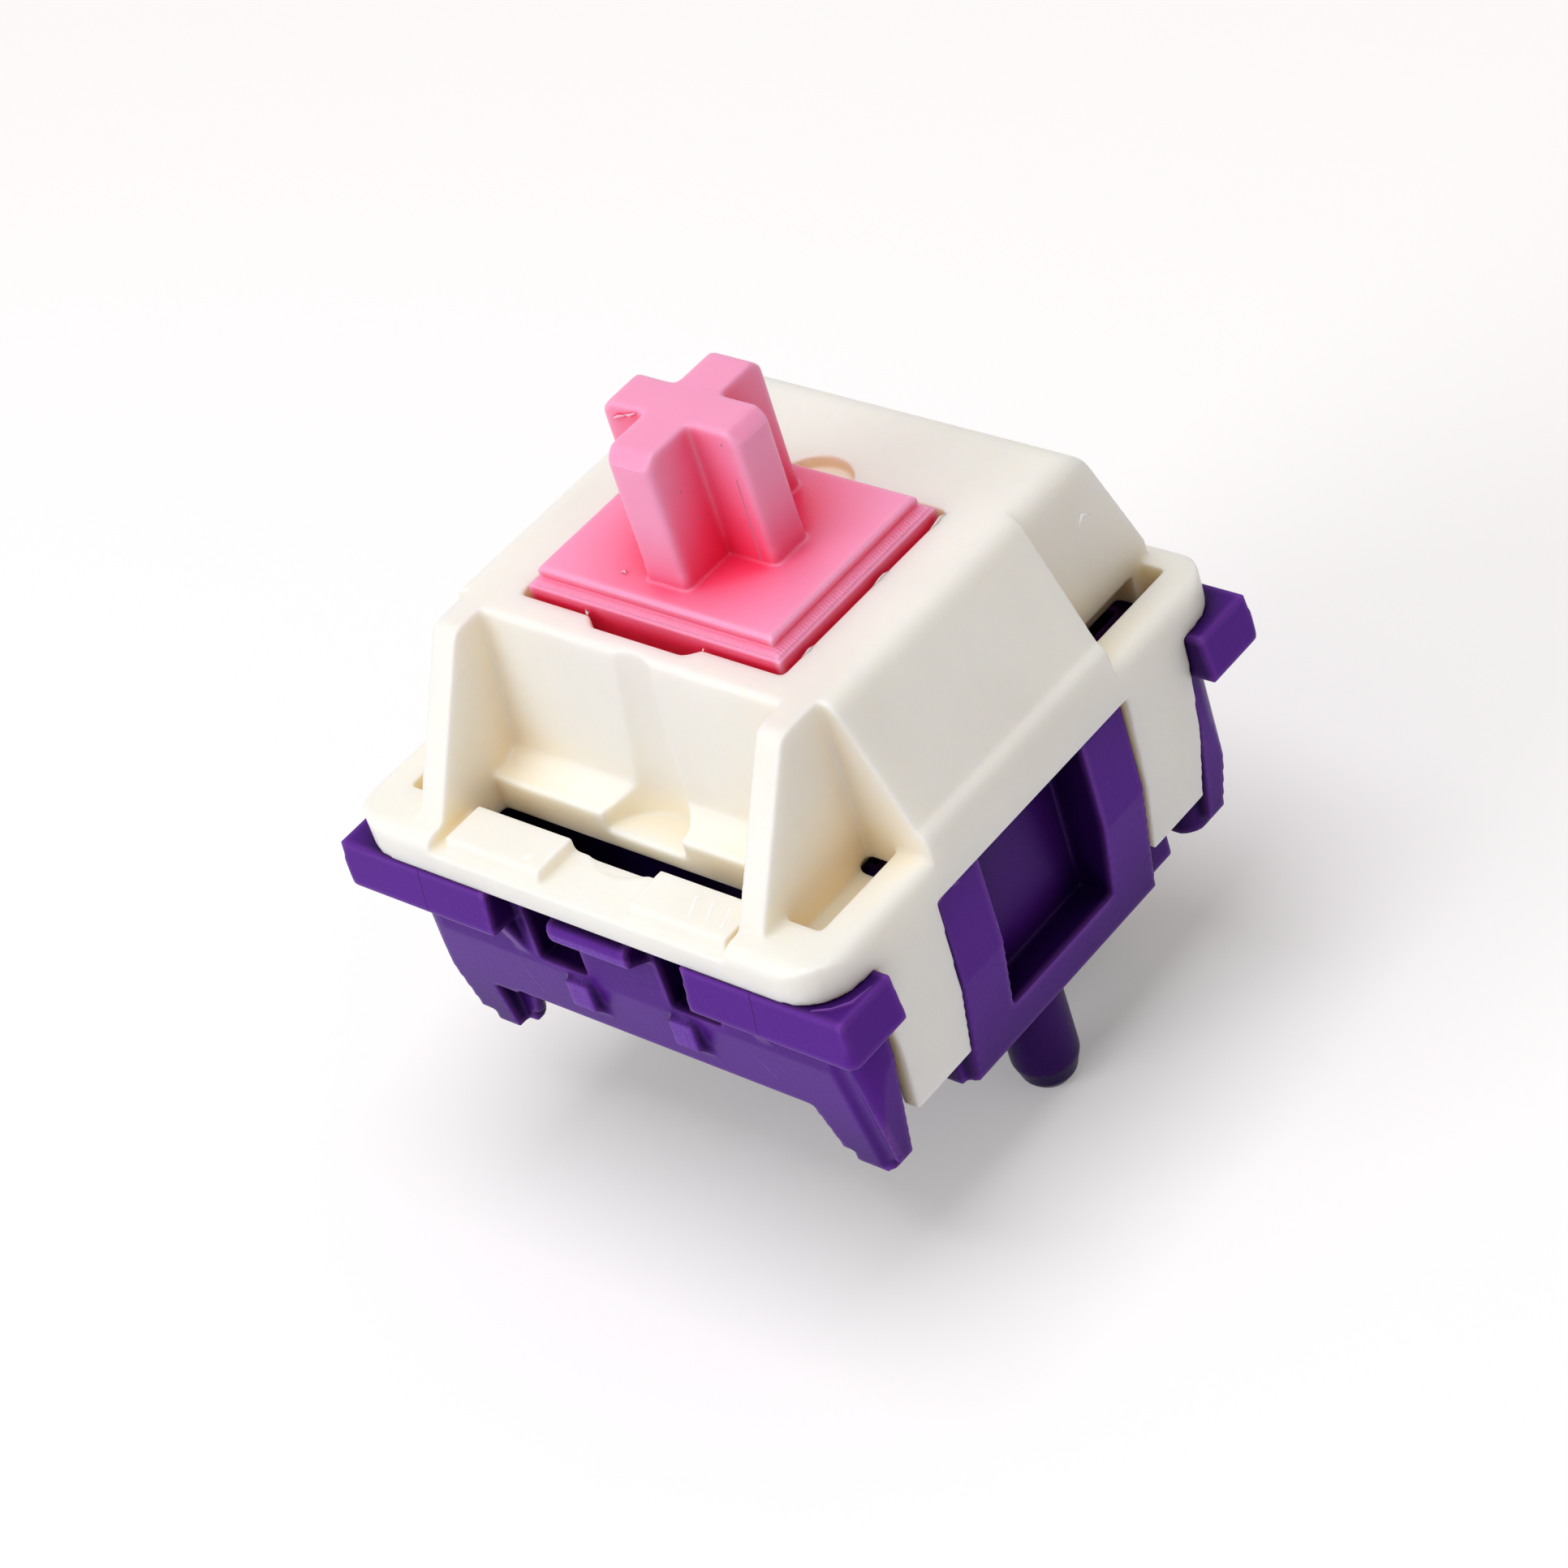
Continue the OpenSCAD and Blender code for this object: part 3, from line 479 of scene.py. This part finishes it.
# %% Make a moulded plastic
def plastic_material(name, colour, painted_shade_colour, roughness, depth, glow, grain, shine, scatter, reach, shade_fade, lines, scuffs, dots=None):
    """Satin moulded plastic. Depth is how far light enters in mm, reach how far the painted shade in recesses
    is felt in mm, and the pair after it the open shares between which that painted shade colour gives way to the
    colour."""
    material = bpy.data.materials.new(name)
    material.use_nodes = True
    nodes, links = material.node_tree.nodes, material.node_tree.links
    shader = nodes["Principled BSDF"]
    place = nodes.new("ShaderNodeTexCoord")
    drift = nodes.new("ShaderNodeTexNoise")
    drift.inputs["Scale"].default_value = 260
    drift.inputs["Detail"].default_value = 3
    links.new(place.outputs["Object"], drift.inputs["Vector"])
    tone = nodes.new("ShaderNodeMapRange")
    tone.inputs["From Min"].default_value = 0.3
    tone.inputs["From Max"].default_value = 0.7
    tone.inputs["To Min"].default_value = 0.965
    tone.inputs["To Max"].default_value = 1.035
    links.new(drift.outputs["Fac"], tone.inputs["Value"])
    # Painted shade: ambient occlusion mixes the darker painted shade colour into recesses and under overhangs.
    shade_occlusion = nodes.new("ShaderNodeAmbientOcclusion")
    shade_occlusion.inputs["Distance"].default_value = reach * MM
    shade_occlusion.samples = 4
    unshaded_share = nodes.new("ShaderNodeMapRange")
    unshaded_share.inputs["From Min"].default_value = shade_fade[0]
    unshaded_share.inputs["From Max"].default_value = shade_fade[1]
    links.new(shade_occlusion.outputs["AO"], unshaded_share.inputs["Value"])
    painted_shade_mix = nodes.new("ShaderNodeMix")
    painted_shade_mix.data_type = "RGBA"
    painted_shade_mix.inputs["A"].default_value = (*painted_shade_colour, 1)
    painted_shade_mix.inputs["B"].default_value = (*colour, 1)
    links.new(unshaded_share.outputs["Result"], painted_shade_mix.inputs["Factor"])
    shade = nodes.new("ShaderNodeMix")
    shade.data_type = "RGBA"
    shade.blend_type = "MULTIPLY"
    shade.inputs["Factor"].default_value = 1
    links.new(painted_shade_mix.outputs["Result"], shade.inputs["A"])
    links.new(tone.outputs["Result"], shade.inputs["B"])
    # Painted highlight and glow: near an outer edge the colour is mixed towards a paler copy of itself.
    edge_occlusion = nodes.new("ShaderNodeAmbientOcclusion")
    edge_occlusion.inputs["Distance"].default_value = 0.22 * MM
    edge_occlusion.samples = 4
    edge_occlusion.inside = True
    edge_occlusion.only_local = True
    thin = nodes.new("ShaderNodeMapRange")
    thin.inputs["From Min"].default_value = 0.9
    thin.inputs["From Max"].default_value = 0.4
    thin.inputs["To Max"].default_value = 0.7
    links.new(edge_occlusion.outputs["AO"], thin.inputs["Value"])
    painted_edge_light = nodes.new("ShaderNodeMix")
    painted_edge_light.data_type = "RGBA"
    painted_edge_light.inputs["B"].default_value = (*[value ** 0.6 for value in colour], 1)
    links.new(thin.outputs["Result"], painted_edge_light.inputs["Factor"])
    links.new(shade.outputs["Result"], painted_edge_light.inputs["A"])
    on_line = strokes_mask(nodes, links, place.outputs["Object"], lines)
    lined = nodes.new("ShaderNodeMix")
    lined.data_type = "RGBA"
    lined.inputs["B"].default_value = (*[value * 0.55 for value in colour], 1)
    links.new(on_line, lined.inputs["Factor"])
    links.new(painted_edge_light.outputs["Result"], lined.inputs["A"])
    on_scuff = strokes_mask(nodes, links, place.outputs["Object"], scuffs)
    speckle = nodes.new("ShaderNodeTexNoise")
    speckle.inputs["Scale"].default_value = 16000
    links.new(place.outputs["Object"], speckle.inputs["Vector"])
    rough = nodes.new("ShaderNodeMath")
    rough.operation = "MULTIPLY"
    links.new(on_scuff, rough.inputs[0])
    links.new(speckle.outputs["Fac"], rough.inputs[1])
    scuffed = nodes.new("ShaderNodeMix")
    scuffed.data_type = "RGBA"
    scuffed.inputs["B"].default_value = (*[min(1, value * 1.7 + 0.05) for value in colour], 1)
    links.new(rough.outputs[0], scuffed.inputs["Factor"])
    links.new(lined.outputs["Result"], scuffed.inputs["A"])
    links.new(scuffed.outputs["Result"], shader.inputs["Base Color"])
    fine = nodes.new("ShaderNodeTexNoise")
    fine.inputs["Scale"].default_value = 9000
    fine.inputs["Detail"].default_value = 2
    links.new(place.outputs["Object"], fine.inputs["Vector"])
    relief = add_bump(nodes, links, fine.outputs["Fac"], grain, 0.02)
    relief = add_bump(nodes, links, rough.outputs[0], 0.8, 0.03, relief)
    if dots is not None:
        relief = add_bump(nodes, links, dots_height(nodes, links, place.outputs["Object"], *dots), 0.9, 0.05, relief)
    links.new(relief, shader.inputs["Normal"])
    gloss = nodes.new("ShaderNodeMapRange")
    gloss.inputs["To Min"].default_value = roughness - 0.05
    gloss.inputs["To Max"].default_value = roughness + 0.05
    links.new(drift.outputs["Fac"], gloss.inputs["Value"])
    links.new(gloss.outputs["Result"], shader.inputs["Roughness"])
    shader.inputs["Specular IOR Level"].default_value = shine
    shader.inputs["Subsurface Weight"].default_value = glow
    shader.inputs["Subsurface Radius"].default_value = scatter
    shader.inputs["Subsurface Scale"].default_value = depth * MM
    return material


def dress(piece, material):
    """Gives a piece one material on all its faces."""
    piece.data.materials.clear()
    piece.data.materials.append(material)
    print(piece.name, "gets", material.name)


# %% Make the three plastics
CREAM_LINES = [((-5.30, -4.95, 10.70), (-4.45, -4.95, 10.70), 0.01), ((4.45, -4.95, 10.70), (5.30, -4.95, 10.70), 0.01)]
CREAM_SCUFFS = [((2.85, -6.40, 7.25), (3.10, -6.95, 7.25), 0.06), ((3.35, -6.40, 7.25), (3.60, -6.95, 7.25), 0.06),
                ((3.85, -6.40, 7.25), (4.05, -6.95, 7.25), 0.06), ((-1.79, -6.94, 7.25), (-1.79, -6.90, 7.25), 0.12)]
PURPLE_LINES = [((5.05, -7.65, 6.25), (5.05, -7.80, 5.00), 0.022), ((-5.10, -7.65, 6.25), (-5.10, -7.80, 5.00), 0.022),
                ((7.05, -1.97, 1.46), (6.95, -2.41, 0.88), 0.04)]
PURPLE_SCUFFS = [((-1.60, -7.15, 2.75), (-1.60, -7.15, 3.30), 0.42), ((1.60, -7.15, 2.75), (1.60, -7.15, 3.30), 0.42),
                 ((-1.15, -7.63, 5.62), (1.15, -7.63, 5.62), 0.16), ((7.05, -1.97, 4.15), (7.05, -1.97, 4.05), 0.09),
                 ((7.05, -1.97, 2.86), (7.05, -1.97, 2.80), 0.08), ((7.05, -0.52, 1.48), (7.05, -0.45, 1.48), 0.07),
                 ((5.06, -6.60, 0.41), (5.06, -6.60, 0.45), 0.06), ((3.40, -6.88, 3.20), (3.85, -6.80, 2.40), 0.035),
                 ((-3.70, -6.90, 3.30), (-3.45, -6.78, 2.20), 0.03)]
PINK_LINES = [((1.66, -0.585, 14.12), (1.60, -0.585, 11.90), 0.025), ((1.54, -0.585, 15.06), (1.54, -0.585, 15.02), 0.035),
              ((0.65, -1.35, 14.11), (0.65, -1.35, 14.08), 0.03), ((0.65, -1.10, 13.20), (0.65, -1.10, 13.18), 0.03)]
PINK_SCUFFS = [((-0.58, -2.05, 15.08), (0.58, -2.05, 15.08), 0.03), ((2.05, -0.50, 15.08), (2.05, 0.50, 15.08), 0.03),
               ((-2.15, -0.73, 11.80), (-2.10, -0.70, 11.80), 0.05)]
# The second colour of each plastic is its painted shade in recesses: warm for the cream, near black for the purple,
# deep red for the pink.
cream = plastic_material("cream_nylon", (0.90, 0.885, 0.845), (0.93, 0.78, 0.54), 0.38, 1.0, 0.55, 0.25, 0.4,
                         (1.0, 0.8, 0.55), 2.4, (0.25, 0.85), CREAM_LINES, CREAM_SCUFFS)
purple = plastic_material("purple_nylon", (0.096, 0.015, 0.285), (0.010, 0.0008, 0.040), 0.30, 0.2, 0.03, 0.3, 0.06,
                          (1.0, 0.4, 1.0), 6.0, (0.55, 1.0), PURPLE_LINES, PURPLE_SCUFFS)
pink = plastic_material("pink_acetal", (0.95, 0.34, 0.575), (0.90, 0.02, 0.10), 0.32, 0.6, 0.40, 0.2, 0.3,
                        (1.0, 0.3, 0.35), 2.8, (0.45, 1.0), PINK_LINES, PINK_SCUFFS, (11.37, 11.50))
dress(upper_moulding, cream)
dress(lower_moulding, purple)
dress(stem_moulding, pink)

# %% [markdown]
# ## Metal
# The spring is drawn steel wire, and the contacts are stamped copper alloy with fine rolling lines. They are
# almost hidden, but the terminals show below the housing, so they get the marks of the strip that they came from.

# %% Make the metals
def metal_material(name, colour, roughness, lines):
    """Bright metal with fine lines left by rolling or drawing."""
    material = bpy.data.materials.new(name)
    material.use_nodes = True
    nodes, links = material.node_tree.nodes, material.node_tree.links
    shader = nodes["Principled BSDF"]
    shader.inputs["Metallic"].default_value = 1
    place = nodes.new("ShaderNodeTexCoord")
    stretch = nodes.new("ShaderNodeMapping")
    stretch.inputs["Scale"].default_value = (1, 1, 0.05)
    links.new(place.outputs["Object"], stretch.inputs["Vector"])
    streaks = nodes.new("ShaderNodeTexNoise")
    streaks.inputs["Scale"].default_value = lines
    streaks.inputs["Detail"].default_value = 4
    links.new(stretch.outputs["Vector"], streaks.inputs["Vector"])
    tone = nodes.new("ShaderNodeMix")
    tone.data_type = "RGBA"
    tone.inputs["A"].default_value = (*[value * 0.82 for value in colour], 1)
    tone.inputs["B"].default_value = (*colour, 1)
    links.new(streaks.outputs["Fac"], tone.inputs["Factor"])
    links.new(tone.outputs["Result"], shader.inputs["Base Color"])
    gloss = nodes.new("ShaderNodeMapRange")
    gloss.inputs["To Min"].default_value = roughness - 0.06
    gloss.inputs["To Max"].default_value = roughness + 0.1
    links.new(streaks.outputs["Fac"], gloss.inputs["Value"])
    links.new(gloss.outputs["Result"], shader.inputs["Roughness"])
    bump = nodes.new("ShaderNodeBump")
    bump.inputs["Strength"].default_value = 0.3
    bump.inputs["Distance"].default_value = 0.01 * MM
    links.new(streaks.outputs["Fac"], bump.inputs["Height"])
    links.new(bump.outputs["Normal"], shader.inputs["Normal"])
    return material


spring_wire = metal_material("spring_wire", (0.62, 0.61, 0.60), 0.28, 9000)
contact_strip = metal_material("contact_strip", (0.80, 0.58, 0.34), 0.32, 6000)
gold_inlay = metal_material("gold_inlay", (0.95, 0.72, 0.34), 0.2, 9000)
dress(spring_coil, spring_wire)
for node, material in (("fixed_contact", contact_strip), ("moving_contact", contact_strip),
                       ("fixed_contact_point", gold_inlay), ("moving_contact_point", gold_inlay)):
    dress(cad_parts[node], material)
